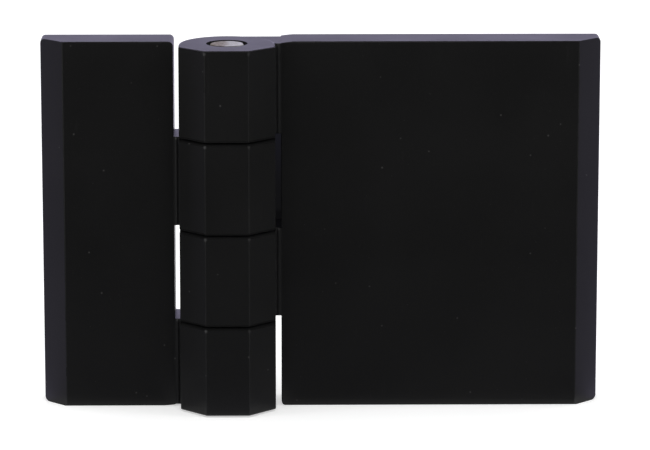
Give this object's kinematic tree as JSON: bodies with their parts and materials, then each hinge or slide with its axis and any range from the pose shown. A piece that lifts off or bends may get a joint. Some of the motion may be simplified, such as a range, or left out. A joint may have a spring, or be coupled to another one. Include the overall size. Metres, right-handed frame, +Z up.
{
  "type": "flat hinge",
  "caption": "Flat cast hinge with a narrow and a wide bevelled leaf, interleaved eight-sided knuckles on a pressed steel pin, and blind threaded fixing holes behind.",
  "frame": {"origin": "middle of the footprint, on the surface that the open hinge stands on; the pin axis is at X = -15 mm, Y = -0.1 mm", "axes": "+Z up along the pin, +X towards the wide leaf's outer edge, +Y out of the mounting plane at the back"},
  "size_m": [0.09, 0.015, 0.06],
  "materials": {
    "black_powder_coat": "satin black powder coat on a zinc die casting, very fine even texture",
    "pin_steel": "turned steel with a faced and chamfered end",
    "bare_zinc": "bare zinc alloy, where the threads are cut through the coat"
  },
  "bodies": {
    "fixed_leaf": {"wide_leaf": "black_powder_coat", "hinge_pin": "pin_steel"},
    "swing_leaf": {"narrow_leaf": "black_powder_coat"}
  },
  "joints": [
    {"name": "leaf_swing", "type": "hinge", "parent": "fixed_leaf", "child": "swing_leaf", "pos_m": [-0.015, -0.0001, 0.03], "axis": [0, 0, 1], "range_deg": [-90, 180]}
  ]
}
